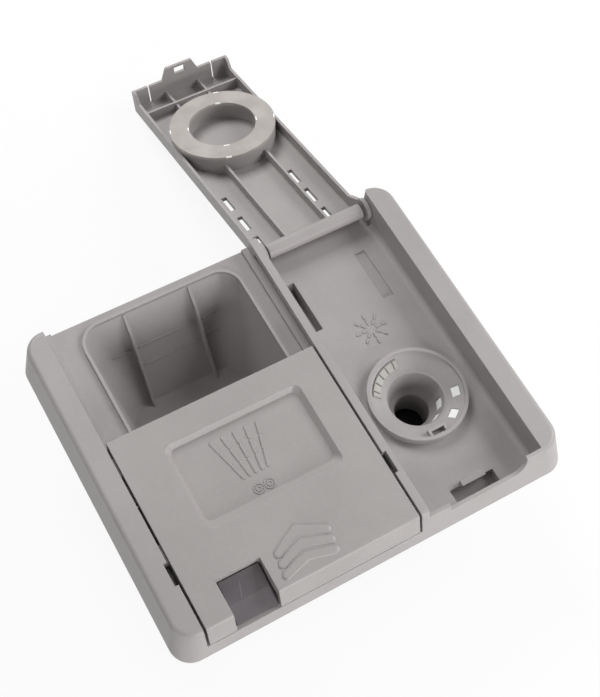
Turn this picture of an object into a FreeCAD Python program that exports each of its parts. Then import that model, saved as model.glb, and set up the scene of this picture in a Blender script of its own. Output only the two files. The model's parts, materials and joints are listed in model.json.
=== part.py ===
import FreeCAD, Part
import math
import os

V = FreeCAD.Vector
X_AXIS = V(1, 0, 0)
Y_AXIS = V(0, 1, 0)
Z_AXIS = V(0, 0, 1)

# Driving dimensions in millimetres.
# The origin is the middle of the dispenser on the plane that seats on the door.

# Moulded front body
TOP_LENGTH = 140.5
SKIRT_HEIGHT = 16.5
SIDE_FLARE = 2.8
FRONT_FLARE = 5.3
CORNER_RADIUS = 9.0
EDGE_ROUND = 2.0
WALL = 2.0
THIN_WALL = 1.6
SEAT_WIDTH = 6.0
LEFT_RAIL = 9.7
RIGHT_RAIL = 10.0
RAIL_END_ROUND = 2.8
TRAY_WIDTH = 94.8
TRAY_DEPTH = 8.0
DIVIDER = 3.6
CHANNEL_WIDTH = 53.9
CHANNEL_DEPTH = 14.5
CHANNEL_FILLET = 3.0
BAY_DEPTH = 10.5
BAY_MARGIN = 4.65

# Low front wall of the channel and the marks in its floor
FRONT_DIP = 8.0
FRONT_STEP = 9.9
FRONT_STEP_RISE = 2.8
SCOOP_SIDE = 7.7
BAR_WIDTH = 4.8
BAR_LENGTH = 25.2
BAR_SIDE = 9.7
BAR_REAR = 20.0
BAR_DEPTH = 0.8
SLOT_WIDTH = 6.4
SLOT_LENGTH = 25.5
SLOT_SIDE = 1.9
SLOT_REAR = 20.5
SLOT_DEPTH = 8.0
SLOT_STEP_WIDTH = 3.2
SLOT_STEP_DEPTH = 1.5

# Detergent chamber
CHAMBER_LEFT = 13.3
CHAMBER_RIGHT = 10.7
CHAMBER_LENGTH = 59.0
CHAMBER_REAR = 4.6
CHAMBER_DEPTH = 38.0
CHAMBER_RADIUS = 9.0
CHAMBER_SIDE_SLOPE = 8.5
CHAMBER_REAR_SLOPE = 24.5
CHAMBER_FRONT_SLOPE = 3.0
RIM_HEIGHT = 1.5
RIM_WIDTH = 1.4
FIN_THICKNESS = 1.2
FIN_HEIGHT = 3.2
FIN_PITCH = 30.2
FIN_LEAD = 6.0
FIN_TOP = 0.6

# Sliding detergent lid
LID_NOSE = 20.0
LID_GAP = 1.1
LID_SIDE_WALL = 6.0
LID_FRONT_WALL = 10.1
LID_PLATE = 1.8
LID_EDGE_ROUND = 1.2
RECESS_LEFT = 18.2
RECESS_RIGHT = 13.6
RECESS_FRONT = 33.4
RECESS_REAR = 11.8
RECESS_DEPTH = 2.5
RECESS_SLOPE = 2.0
RECESS_RADIUS = 3.2
RUNNER_FRONT = 34.0
RUNNER_REAR = 10.0
RUNNER_HEIGHT = 2.6
RUNNER_LENGTH = 8.0
RUNNER_DEPTH = 1.2
RUNNER_CLEARANCE = 0.2
NOTCH_LENGTH = 10.0
GUIDE_LEDGE = 3.0
SEAL_LIP = 1.0

# Release button with its latch hook
BUTTON_WIDTH = 17.4
BUTTON_SIDE = 12.5
BUTTON_LENGTH = 15.4
BUTTON_RISE = 7.0
BUTTON_TRAVEL = 2.5
BUTTON_CLEARANCE = 0.8
BUTTON_CREASE = 5.25
BUTTON_DIP = 2.4
BUTTON_NOSE = 1.6
BUTTON_LIP = 1.0
BUTTON_ROUND = 1.5
STEM_WIDTH = 8.0
STEM_FRONT = 3.0
STEM_REAR = 2.0
HOOK_WIDTH = 4.0
HOOK_LENGTH = 3.5
HOOK_SIDE = 5.0
SLIDING_GAP = 0.5

# Rinse-aid flip lid
HINGE_DEPTH = 8.5
HINGE_REAR = 4.9
OPEN_TILT = 16.5
EAR_RADIUS = 5.0
EAR_WIDTH = 1.9
EAR_LENGTH = 7.0
BAR_RADIUS = 3.4
BAR_END_GAP = 1.4
PIN_RADIUS = 2.0
PIN_CLEARANCE = 0.05
PIN_END_GAP = 0.4
BORE_END = 0.8
RINSE_LID_GAP = 0.9
RINSE_WALL = 7.4
RINSE_SIDE = 1.4
RINSE_END = 1.5
RINSE_PLATE = 2.0
RINSE_RIB = 1.2
RIB_LOW = 1.0
LONG_RIB_PITCH = 20.8
SHORT_RIB_PITCH = 17.6
CROSS_RIB = 12.5
POST_HEIGHT = 12.0
POST_LENGTH = 6.0
TONGUE_HEIGHT = 6.2
TONGUE_WIDTH = 19.9
TONGUE_TAPER = 3.0
TONGUE_GAP = 0.4
TONGUE_HOLE_WIDTH = 5.6
TONGUE_HOLE_HEIGHT = 3.4
SLIT = 1.0
SLIT_PITCH = 34.8
DRAIN_LENGTH = 10.0
DRAIN_WIDTH = 2.4
DRAIN_PITCH = 15.5
DRAIN_COUNT = 3
DRAIN_REAR = 2.6
DRAIN_LEFT = 5.8
DRAIN_RIGHT = 11.85
POCKET_LENGTH = 4.9
POCKET_ROOM = 0.8
LATCH_WIDTH = 11.0
LATCH_THICKNESS = 1.2
LATCH_HEIGHT = 3.0
LATCH_NOSE = 1.4

# Rinse-aid funnel and the soft ring that closes it
FUNNEL_SIDE = 5.6
FUNNEL_HEIGHT = 3.5
FUNNEL_FRONT = 48.7
FUNNEL_THROAT = 7.5
FUNNEL_DEPTH = 28.0
COLLAR_LIP = 1.2
CONE_WIDTH = 8.05
CONE_FOOT = 2.0
BOWL_LEDGE = 1.1
BOWL_DEPTH = 12.0
BOWL_FLARE = 2.0
BOWL_RISE = 2.5
THROAT_TAPER = 0.2
WINDOW_WIDTH = 4.4
WINDOW_INSIDE = 2.6
WINDOW_OUTSIDE = 3.4
CONE_WINDOW_HEIGHT = 3.0
CONE_WINDOW_LIFT = 1.2
CONE_WINDOW_ANGLES = (-19, -55)
BOWL_WINDOW_HEIGHT = 4.6
BOWL_WINDOW_LIFT = 4.2
BOWL_WINDOW_ANGLES = (-26, -62, -92)
LEVEL_PLATE_START = 88
LEVEL_PLATE_SWEEP = 66
LEVEL_PLATE_RISE = 0.6
LEVEL_PLATE_MARGIN = 1.4
KEEPER_WIDTH = 8.3
KEEPER_LENGTH = 4.6
KEEPER_LEFT = 5.4
KEEPER_WALL = 1.2
SEAL_LAP = 3.95
SEAL_WIDTH = 9.3
SEAL_THICKNESS = 1.5
SEAL_CLEARANCE = 0.1
SEAT_WALL = 1.9
SEAT_INSET = 0.3
NICK_LENGTH = 3.2
NICK_WIDTH = 1.6
NICK_DEPTH = 0.6
NICK_ANGLES = (20, 110, 200, 290)

# Housing behind the door
REAR_DEPTH = 41.5
HOUSING_END = 10.25
HOUSING_RADIUS = 6.0
HOUSING_EDGE = 2.0
TANK_SIDE = 9.9
TANK_OVERHANG = 4.0
BAFFLE_GAP = 19.5
BAFFLE_PASSAGE = 10.0
COVER_SIDE = 1.3
COVER_REAR = 8.65
GASKET_WIDTH = 3.0
GASKET_HEIGHT = 3.0
GASKET_INSET = 1.2
BOSS_INSET = 6.0
BOSS_LIFT = 4.0
BOSS_WALL = 0.6
SCREW_RADIUS = 1.5
SCREW_HEAD = 3.0
SCREW_HEAD_HEIGHT = 2.0
SCREW_SLOT = 1.0
SCREW_SLOT_DEPTH = 1.2
SCREW_LENGTH = 13.0
PILOT_CLEARANCE = 0.1

# Release drive: solenoid, plunger, valve and lever
SOLENOID_LENGTH = 32.0
SOLENOID_WIDTH = 22.0
SOLENOID_DEPTH = 22.0
DRIVE_SIDE = 2.0
DRIVE_DROP = 1.0
PLUNGER_RADIUS = 4.0
PLUNGER_STROKE = 4.0
RUNNING_FIT = 0.05
SHEET = 1.5
CRADLE = 3.0
BOBBIN_WALL = 1.2
CHEEK_LENGTH = 6.0
CHEEK_WIDTH = 14.0
CHEEK_RIM = 1.0
WINDING_GAP = 0.2
BLADE_WIDTH = 2.8
BLADE_THICKNESS = 0.8
BLADE_LENGTH = 8.0
BLADE_PITCH = 9.0
TAIL_RADIUS = 2.0
SPRING_ROOM = 14.0
COLLAR_FLANGE = 2.5
COLLAR_THICKNESS = 2.0
ROD_RADIUS = 1.5
ROD_REACH = 16.4
ROD_SOCKET = 6.0
SPIGOT_RADIUS = 6.0
SPIGOT_BORE = 3.0
SPIGOT_REACH = 1.7
VALVE_RADIUS = 4.5
VALVE_THICKNESS = 1.6
LEVER_SIDE = 10.7
LEVER_DROP = 16.0
LEVER_REACH = 12.1
LEVER_WIDTH = 4.0
LEVER_THICKNESS = 2.4
CLEVIS_WIDTH = 7.0
FOOT_LENGTH = 7.0
FOOT_GAP = 0.6

# Coil springs
SPRING_WIRE = 0.4
WIRE_SIDES = 8
COIL_STEPS = 14
LID_SPRING_LENGTH = 26.0
LID_SPRING_RADIUS = 1.9
LID_SPRING_PITCH = 3.1
LATCH_SPRING_LENGTH = 14.0
LATCH_SPRING_RADIUS = 2.8
LATCH_SPRING_PITCH = 3.3
LATCH_SPRING_BACK = 9.0
PLUNGER_SPRING_GAP = 1.4
PLUNGER_SPRING_PITCH = 2.8
TRIP_SPRING_LENGTH = 7.4
TRIP_SPRING_RADIUS = 1.5
TRIP_SPRING_PITCH = 1.8

# Clearances: faces that sit on each other, parts that pass each other,
# and how far a fused detail reaches into what carries it
CLOSE_GAP = 0.1
SMALL_GAP = 0.3
SINK = 0.5
TINY = 0.01


def outline(x0, x1, y0, y1, radius, z):
    """Closed rounded rectangle at height z."""
    k = radius * (1 - math.sqrt(0.5))
    corners = [
        (V(x1, y0 + radius, z), V(x1, y1 - radius, z), V(x1 - k, y1 - k, z), V(x1 - radius, y1, z)),
        (V(x1 - radius, y1, z), V(x0 + radius, y1, z), V(x0 + k, y1 - k, z), V(x0, y1 - radius, z)),
        (V(x0, y1 - radius, z), V(x0, y0 + radius, z), V(x0 + k, y0 + k, z), V(x0 + radius, y0, z)),
        (V(x0 + radius, y0, z), V(x1 - radius, y0, z), V(x1 - k, y0 + k, z), V(x1, y0 + radius, z)),
    ]
    edges = []
    for start, end, middle, turn in corners:
        edges.append(Part.LineSegment(start, end).toShape())
        edges.append(Part.Arc(end, middle, turn).toShape())
    return Part.Wire(edges)


def loft(low, high):
    return Part.makeLoft([low, high], True, True)


def prism(wire, height):
    return Part.Face(wire).extrude(V(0, 0, height))


def block(x0, x1, y0, y1, z0, z1):
    return Part.makeBox(x1 - x0, y1 - y0, z1 - z0, V(x0, y0, z0))


def closed_face(points):
    return Part.Face(Part.makePolygon(points + points[:1]))


def side_profile(points, x0, x1):
    """Polygon of (y, z) points drawn out along X."""
    return closed_face([V(x0, y, z) for y, z in points]).extrude(V(x1 - x0, 0, 0))


def front_profile(points, y0, y1):
    """Polygon of (x, z) points drawn out along Y."""
    return closed_face([V(x, y0, z) for x, z in points]).extrude(V(0, y1 - y0, 0))


def turned_profile(points, sweep):
    """Polygon of (radius, z) points turned about Z."""
    return closed_face([V(r, 0, z) for r, z in points]).revolve(V(0, 0, 0), Z_AXIS, sweep)


def rod(radius, start, axis, length):
    return Part.makeCylinder(radius, length, start, axis)


def tube(start, axis, outer, inner, length):
    return rod(outer, start, axis, length).cut(rod(inner, start, axis, length))


def coil(start, axis, radius, pitch, room):
    """Open coil of round wire that fills the room along axis from start."""
    end = SPRING_WIRE + CLOSE_GAP
    height = room - 2 * end
    turns = height / pitch
    steps = math.ceil(COIL_STEPS * turns)
    rings = []
    for step in range(steps + 1):
        turn = 2 * math.pi * turns * step / steps
        outward = V(math.cos(turn), math.sin(turn), 0)
        along = V(-radius * math.sin(turn), radius * math.cos(turn), pitch / (2 * math.pi)).normalize()
        centre = outward * radius + V(0, 0, height * step / steps)
        rings.append(wire_ring(centre, outward, outward.cross(along)))
    spring = Part.makeLoft(rings, True, True)
    spring.Placement = FreeCAD.Placement(start + axis * end, FreeCAD.Rotation(Z_AXIS, axis))
    return spring


def wire_ring(centre, side, up):
    """Section of the spring wire, across its run."""
    points = []
    for corner in range(WIRE_SIDES):
        turn = 2 * math.pi * corner / WIRE_SIDES
        points.append(centre + (side * math.cos(turn) + up * math.sin(turn)) * SPRING_WIRE)
    return Part.makePolygon(points + points[:1])


def join(shapes):
    return shapes[0].multiFuse(shapes[1:]).removeSplitter()


def save(shape, name):
    solids = shape.Solids
    result = solids[0] if len(solids) == 1 else Part.makeCompound(solids)
    result.exportStep("parts/" + name + ".step")


# Levels and edges worked out from the driving dimensions
top_width = LEFT_RAIL + TRAY_WIDTH + DIVIDER + CHANNEL_WIDTH + RIGHT_RAIL
top_z = SKIRT_HEIGHT
tray_z = top_z - TRAY_DEPTH
bay_z = top_z - BAY_DEPTH
floor_low = bay_z - WALL
channel_z = top_z - CHANNEL_DEPTH
front_y = -TOP_LENGTH / 2
rear_y = TOP_LENGTH / 2
tray_x0 = -top_width / 2 + LEFT_RAIL
tray_x1 = tray_x0 + TRAY_WIDTH
channel_x0 = tray_x1 + DIVIDER
channel_x1 = channel_x0 + CHANNEL_WIDTH
channel_mid = (channel_x0 + channel_x1) / 2
hinge_y = rear_y - HINGE_REAR
hinge_z = top_z - HINGE_DEPTH
floor_end = hinge_y + 5 * SMALL_GAP
reach = top_width + TOP_LENGTH


def front_face(z):
    """Y of the sloping front face at height z."""
    return front_y - FRONT_FLARE * (SKIRT_HEIGHT - z) / SKIRT_HEIGHT


def skirt_outline(z, inset):
    """Section of the flared skirt at height z, set in by inset."""
    share = (SKIRT_HEIGHT - z) / SKIRT_HEIGHT
    half = top_width / 2 + SIDE_FLARE * share - inset
    return outline(-half, half, front_face(z) + inset, rear_y - inset, CORNER_RADIUS - inset, z)


# Chamber outline at the tray floor and at its own floor
chamber_x0 = tray_x0 + CHAMBER_LEFT
chamber_x1 = tray_x1 - CHAMBER_RIGHT
chamber_y1 = rear_y - CHAMBER_REAR
chamber_y0 = chamber_y1 - CHAMBER_LENGTH
chamber_z = tray_z - CHAMBER_DEPTH
rim_z = tray_z + RIM_HEIGHT


def chamber_outline(grow, z, share):
    """Chamber section grown outwards, with share of the full taper."""
    return outline(
        chamber_x0 + CHAMBER_SIDE_SLOPE * share - grow,
        chamber_x1 - CHAMBER_SIDE_SLOPE * share + grow,
        chamber_y0 + CHAMBER_FRONT_SLOPE * share - grow,
        chamber_y1 - CHAMBER_REAR_SLOPE * share + grow,
        CHAMBER_RADIUS + grow,
        z,
    )


def chamber_solid(grow, z_top, z_low):
    """Tapered chamber form between two heights."""
    low = chamber_outline(grow, z_low, (tray_z - z_low) / CHAMBER_DEPTH)
    high = chamber_outline(grow, z_top, (tray_z - z_top) / CHAMBER_DEPTH)
    return loft(low, high)


# Sliding lid edges: it covers the chamber from its nose to the rear edge of the tray
lid_length = LID_NOSE + CHAMBER_LENGTH + CHAMBER_REAR
lid_travel = TOP_LENGTH - lid_length
lid_x0 = tray_x0 + LID_GAP
lid_x1 = tray_x1 - LID_GAP
lid_y0 = front_y
lid_y1 = front_y + lid_length
lid_low_z = top_z - LID_SIDE_WALL
lid_front_z = top_z - LID_FRONT_WALL
plate_z = top_z - LID_PLATE
runner_z0 = lid_low_z
runner_z1 = runner_z0 + RUNNER_HEIGHT
runner_y = [lid_y0 + RUNNER_FRONT, lid_y1 - RUNNER_REAR]
runner_front = runner_y[0] - RUNNER_LENGTH / 2
groove_z0 = runner_z0 - RUNNER_CLEARANCE
groove_z1 = runner_z1 + RUNNER_CLEARANCE
groove_y0 = runner_front - NOTCH_LENGTH
groove_y1 = runner_y[1] + RUNNER_LENGTH / 2 + lid_travel + SMALL_GAP

# Button, and the latch hook that stands in front of the shut lid's front wall
button_x0 = tray_x0 + BUTTON_SIDE + BUTTON_CLEARANCE
button_x1 = button_x0 + BUTTON_WIDTH
button_y1 = front_y + BUTTON_LENGTH - BUTTON_CLEARANCE
button_mid = (button_x0 + button_x1) / 2
button_low = bay_z + SMALL_GAP
button_high = button_low + BUTTON_RISE
stem_x0 = button_mid - STEM_WIDTH / 2
stem_x1 = button_mid + STEM_WIDTH / 2
stem_y0 = front_y + STEM_FRONT
stem_y1 = button_y1 - STEM_REAR
hook_y1 = front_face(lid_front_z) + lid_travel - SMALL_GAP
hook_y0 = hook_y1 - HOOK_LENGTH
hook_x0 = button_x1 + HOOK_SIDE
hook_x1 = hook_x0 + HOOK_WIDTH
arm_z1 = floor_low - BUTTON_TRAVEL - SMALL_GAP
arm_z0 = arm_z1 - WALL
bay_y = hook_y1 + BAY_MARGIN

# Funnel, its soft ring and the shut end of the flip lid
funnel_radius = CHANNEL_WIDTH / 2 - FUNNEL_SIDE
ledge_radius = funnel_radius - CONE_WIDTH
funnel_y = front_y + FUNNEL_FRONT
funnel_z = channel_z + FUNNEL_HEIGHT
funnel_ledge_z = channel_z - CONE_FOOT
bowl_z = funnel_ledge_z - BOWL_DEPTH
seal_outer = funnel_radius + SEAL_LAP
seal_inner = seal_outer - SEAL_WIDTH
rinse_end_y = front_y + THIN_WALL + SMALL_GAP
post_low = top_z - POST_HEIGHT
tongue_low = post_low - TONGUE_HEIGHT
bore_depth = DIVIDER - BORE_END
pin_reach = bore_depth - PIN_END_GAP

# Tank and cover behind the door
rear_z = -REAR_DEPTH
tank_x0 = channel_x0 + TANK_SIDE
tank_x1 = channel_x1 + TANK_OVERHANG
tank_y0 = front_y + HOUSING_END
tank_y1 = rear_y - HOUSING_END
cover_x0 = tray_x0 + COVER_SIDE
cover_x1 = channel_x0 - SMALL_GAP
cover_y0 = front_y + HOUSING_END
cover_y1 = hook_y1 + COVER_REAR
boss_radius = SCREW_HEAD + BOSS_WALL
screw_boss_z = rear_z + BOSS_LIFT
screw_points = [
    (x, y)
    for x in (cover_x0 + BOSS_INSET, cover_x1 - BOSS_INSET)
    for y in (cover_y0 + BOSS_INSET, cover_y1 - BOSS_INSET)
]

# Drive line along X, from the valve spigot of the tank back to the lever
drive_y = (cover_y0 + cover_y1) / 2 - DRIVE_SIDE
drive_z = rear_z / 2 - DRIVE_DROP
spigot_x = cover_x1 - WALL - SPIGOT_REACH
valve_x1 = spigot_x - SEAL_CLEARANCE
valve_x0 = valve_x1 - VALVE_THICKNESS
collar_x = valve_x0 - ROD_REACH
frame_x1 = collar_x - SPRING_ROOM
frame_x0 = frame_x1 - SOLENOID_LENGTH
lever_x = cover_x0 + LEVER_SIDE
lever_z = drive_z + LEVER_DROP
lever_low = lever_z - LEVER_WIDTH / 2
tail_x = lever_x + LEVER_WIDTH / 2 + SMALL_GAP
foot_x1 = lever_x + LEVER_REACH + FOOT_GAP + THIN_WALL
foot_z = lever_low - TRIP_SPRING_LENGTH

# Springs: lid return in the left rail, latch spring on a post of the cover
lid_spring_x = tray_x0 - WALL - LID_SPRING_RADIUS - SPRING_WIRE - 2 * SMALL_GAP
lid_spring_y1 = runner_front - SMALL_GAP
lid_spring_y0 = lid_spring_y1 - LID_SPRING_LENGTH
latch_spring_y = hook_y0 - LATCH_SPRING_BACK
latch_spring_z = arm_z0 - LATCH_SPRING_LENGTH


def drive_point(x):
    return V(x, drive_y, drive_z)


def make_front_body():
    body = make_shell()
    body = add_chamber(body)
    body = add_channel(body)
    body = add_lid_latch(body)
    body = add_floor_marks(body)
    body = add_rail_grooves(body)
    body = add_fixings(body)
    body = add_funnel(body)
    return body.removeSplitter()


def make_shell():
    """Flared skirt with hollow rails, the tray and the deeper bay in front of it."""
    skirt = loft(skirt_outline(0, 0), skirt_outline(top_z, 0))
    rim_edges = [e for e in skirt.Edges if e.BoundBox.ZMin > top_z - TINY]
    shell = skirt.makeFillet(EDGE_ROUND, rim_edges)
    hollow = loft(skirt_outline(WALL, WALL), skirt_outline(top_z - WALL, WALL))
    hollow = hollow.fuse(prism(skirt_outline(-WALL, SEAT_WIDTH), 2 * WALL))
    rail_inner = tray_x0 - WALL
    regions = [
        block(-reach, rail_inner, -reach, reach, -WALL, top_z - WALL),
        block(rail_inner, tray_x1, bay_y, reach, -WALL, tray_z - WALL),
        block(rail_inner, tray_x1, -reach, bay_y - WALL, -WALL, floor_low),
        block(channel_x1 + WALL, reach, -reach, reach, -WALL, top_z - WALL),
    ]
    shell = shell.cut(hollow.common(join(regions)))
    shell = shell.cut(block(tray_x0, tray_x1, bay_y, reach, tray_z, reach))
    shell = shell.cut(block(tray_x0, tray_x1, -reach, bay_y, bay_z, reach))
    guide_z = groove_z0 - RUNNER_CLEARANCE / 2
    for x0 in (tray_x0, tray_x1 - GUIDE_LEDGE):
        shell = shell.fuse(block(x0, x0 + GUIDE_LEDGE, bay_y, rear_y, tray_z - 2 * SINK, guide_z))
    return shell


def add_chamber(body):
    """Tapered detergent chamber that hangs from the tray, with a raised rim and two fins."""
    body = body.fuse(chamber_solid(WALL, tray_z - SINK, chamber_z - WALL))
    body = body.fuse(prism(chamber_outline(RIM_WIDTH, tray_z - SINK, 0), RIM_HEIGHT + SINK))
    body = body.cut(chamber_solid(0, tray_z, chamber_z))
    body = body.cut(prism(chamber_outline(0, tray_z, 0), RIM_HEIGHT + SINK))
    slope = CHAMBER_REAR_SLOPE / CHAMBER_DEPTH
    fin = [
        (chamber_y1 + SINK, tray_z),
        (chamber_y1 - FIN_TOP, tray_z),
        (chamber_y1 - FIN_HEIGHT - slope * FIN_LEAD, tray_z - FIN_LEAD),
        (chamber_y1 - FIN_HEIGHT - CHAMBER_REAR_SLOPE, chamber_z),
        (chamber_y1 - CHAMBER_REAR_SLOPE + SINK, chamber_z - SINK),
    ]
    chamber_mid = (chamber_x0 + chamber_x1) / 2
    for x in (chamber_mid - FIN_PITCH / 2, chamber_mid + FIN_PITCH / 2):
        body = body.fuse(side_profile(fin, x - FIN_THICKNESS / 2, x + FIN_THICKNESS / 2))
    return body


def add_channel(body):
    """Channel under the rinse-aid lid, open at the rear, with a low scooped front wall."""
    inner_low = front_face(channel_z) + THIN_WALL
    inner_high = front_face(reach) + THIN_WALL
    channel = side_profile(
        [(reach, channel_z), (inner_low, channel_z), (inner_high, reach), (reach, reach)],
        channel_x0, channel_x1,
    )
    low_edges = [
        e for e in channel.Edges
        if abs(e.BoundBox.ZMax - channel_z) < TINY and e.BoundBox.YMin < rear_y
    ]
    body = body.cut(channel.makeFillet(CHANNEL_FILLET, low_edges))

    # Room for the ears of the flip lid where the floor ends
    ear_room = channel_z + CHANNEL_FILLET + SMALL_GAP
    ear_y = hinge_y - EAR_RADIUS - 2 * SMALL_GAP
    body = body.cut(block(channel_x0, channel_x1, floor_end, reach, -WALL, ear_room))
    body = body.cut(block(channel_x0, channel_x1, ear_y, reach, channel_z, ear_room))

    # The right rail ends in a rounded nose
    nose_y = rear_y - RAIL_END_ROUND
    nose_x = channel_x1 + RAIL_END_ROUND
    corner = block(channel_x1 - SINK, nose_x, nose_y, reach, channel_z, reach)
    body = body.cut(corner.cut(rod(RAIL_END_ROUND, V(nose_x, nose_y, channel_z), Z_AXIS, reach)))

    # Low front wall: a step beside the divider and a scooped right end
    dip_z = channel_z + FRONT_DIP
    step_x = channel_x0 + FRONT_STEP
    scoop_r = top_z - dip_z
    scoop_x = channel_x1 - SCOOP_SIDE - scoop_r
    wall_end = rinse_end_y + POCKET_LENGTH
    body = body.cut(block(step_x, scoop_x, -reach, wall_end, dip_z, reach))
    body = body.cut(rod(scoop_r, V(scoop_x, -reach, top_z), Y_AXIS, reach + wall_end))
    return body.cut(block(channel_x0, step_x + SINK, -reach, wall_end, dip_z + FRONT_STEP_RISE, reach))


def add_lid_latch(body):
    """Pocket for the flip lid's tongue, with the hook that it snaps behind."""
    pocket_x0 = channel_mid - TONGUE_WIDTH / 2 - TONGUE_GAP
    pocket_x1 = channel_mid + TONGUE_WIDTH / 2 + TONGUE_GAP
    pocket_y0 = rinse_end_y - RINSE_LID_GAP
    pocket_y1 = rinse_end_y + POCKET_LENGTH
    pocket_z = tongue_low - POCKET_ROOM
    body = body.fuse(block(
        pocket_x0 - THIN_WALL, pocket_x1 + THIN_WALL,
        pocket_y0 - THIN_WALL, pocket_y1 + THIN_WALL, pocket_z - THIN_WALL, channel_z / 2,
    ))
    body = body.cut(block(pocket_x0, pocket_x1, pocket_y0, pocket_y1, pocket_z, channel_z + CHANNEL_FILLET))
    hook_high = channel_z + LATCH_HEIGHT
    nose_y = pocket_y1 - LATCH_NOSE
    hook = [
        (pocket_y1 + LATCH_THICKNESS, channel_z - SINK),
        (pocket_y1 + LATCH_THICKNESS, hook_high),
        (nose_y, hook_high),
        (nose_y, hook_high - LATCH_NOSE),
        (pocket_y1, channel_z - SINK),
    ]
    return body.fuse(side_profile(hook, channel_mid - LATCH_WIDTH / 2, channel_mid + LATCH_WIDTH / 2))


def add_floor_marks(body):
    """Shallow bar and stepped blind slot in the channel floor."""
    bar_x1 = channel_x1 - BAR_SIDE
    bar_y1 = rear_y - BAR_REAR
    body = body.cut(block(
        bar_x1 - BAR_WIDTH, bar_x1, bar_y1 - BAR_LENGTH, bar_y1, channel_z - BAR_DEPTH, channel_z + SINK,
    ))
    x0 = channel_x0 + SLOT_SIDE
    x1 = x0 + SLOT_WIDTH
    y1 = rear_y - SLOT_REAR
    y0 = y1 - SLOT_LENGTH
    z = channel_z - SLOT_DEPTH
    wall_x1 = min(x1 + THIN_WALL, tank_x0 - SMALL_GAP)
    body = body.fuse(block(
        x0 - THIN_WALL, wall_x1, y0 - THIN_WALL, y1 + THIN_WALL, z - THIN_WALL, channel_z / 2,
    ))
    body = body.cut(block(x0, x1, y0, y1, z, channel_z + CHANNEL_FILLET))
    step_z = channel_z - SLOT_STEP_DEPTH
    return body.fuse(block(x0 - SINK, x0 + SLOT_STEP_WIDTH, (y0 + y1) / 2, y1 + SINK, z, step_z))


def add_rail_grooves(body):
    """Grooves and entry notches for the lid's runners, and the stop rib of its spring."""
    entry = RUNNER_DEPTH + SMALL_GAP
    left_x0 = tray_x0 - WALL - SINK
    body = body.cut(block(left_x0, tray_x0, groove_y0, groove_y1, groove_z0, groove_z1))
    body = body.cut(block(tray_x1, tray_x1 + entry, groove_y0, groove_y1, groove_z0, groove_z1))
    notch_y1 = runner_front - RUNNER_CLEARANCE
    for x0 in (tray_x0 - entry, tray_x1):
        body = body.cut(block(x0, x0 + entry, groove_y0, notch_y1, groove_z0, reach))
    rib = block(
        -reach, tray_x0 - WALL + SINK, lid_spring_y0 - WALL, lid_spring_y0, bay_z, top_z - WALL + SINK,
    )
    inside = loft(skirt_outline(0, WALL / 2), skirt_outline(top_z, WALL / 2))
    return body.fuse(rib.common(inside))


def add_fixings(body):
    """Button openings, hinge bores, screw bosses and the clevis of the release lever."""
    low = floor_low - WALL
    high = bay_z + SINK
    for x0, x1, y0, y1 in ((stem_x0, stem_x1, stem_y0, stem_y1), (hook_x0, hook_x1, hook_y0, hook_y1)):
        body = body.cut(block(
            x0 - SLIDING_GAP, x1 + SLIDING_GAP, y0 - SLIDING_GAP, y1 + SLIDING_GAP, low, high,
        ))
    bore = PIN_RADIUS + PIN_CLEARANCE
    body = body.fuse(rod(bore + WALL, V(channel_x1 + SINK, hinge_y, hinge_z), X_AXIS, bore_depth))
    for x0 in (channel_x0 - bore_depth, channel_x1 - SINK):
        body = body.cut(rod(bore, V(x0, hinge_y, hinge_z), X_AXIS, bore_depth + SINK))
    for x, y in screw_points:
        foot = V(x, y, screw_boss_z)
        body = body.fuse(rod(boss_radius, foot, Z_AXIS, floor_low + SINK - screw_boss_z))
        body = body.cut(rod(SCREW_RADIUS + PILOT_CLEARANCE, foot, Z_AXIS, SCREW_LENGTH))
    half = CLEVIS_WIDTH / 2
    inner = LEVER_WIDTH / 2 + SMALL_GAP
    for y0 in (drive_y - inner - WALL, drive_y + inner):
        body = body.fuse(block(
            lever_x - half, lever_x + half, y0, y0 + WALL, lever_z - half, floor_low + SINK,
        ))
    pin_start = V(lever_x, drive_y - inner - WALL, lever_z)
    return body.cut(rod(PIN_RADIUS + RUNNING_FIT, pin_start, Y_AXIS, 2 * (inner + WALL)))


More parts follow.
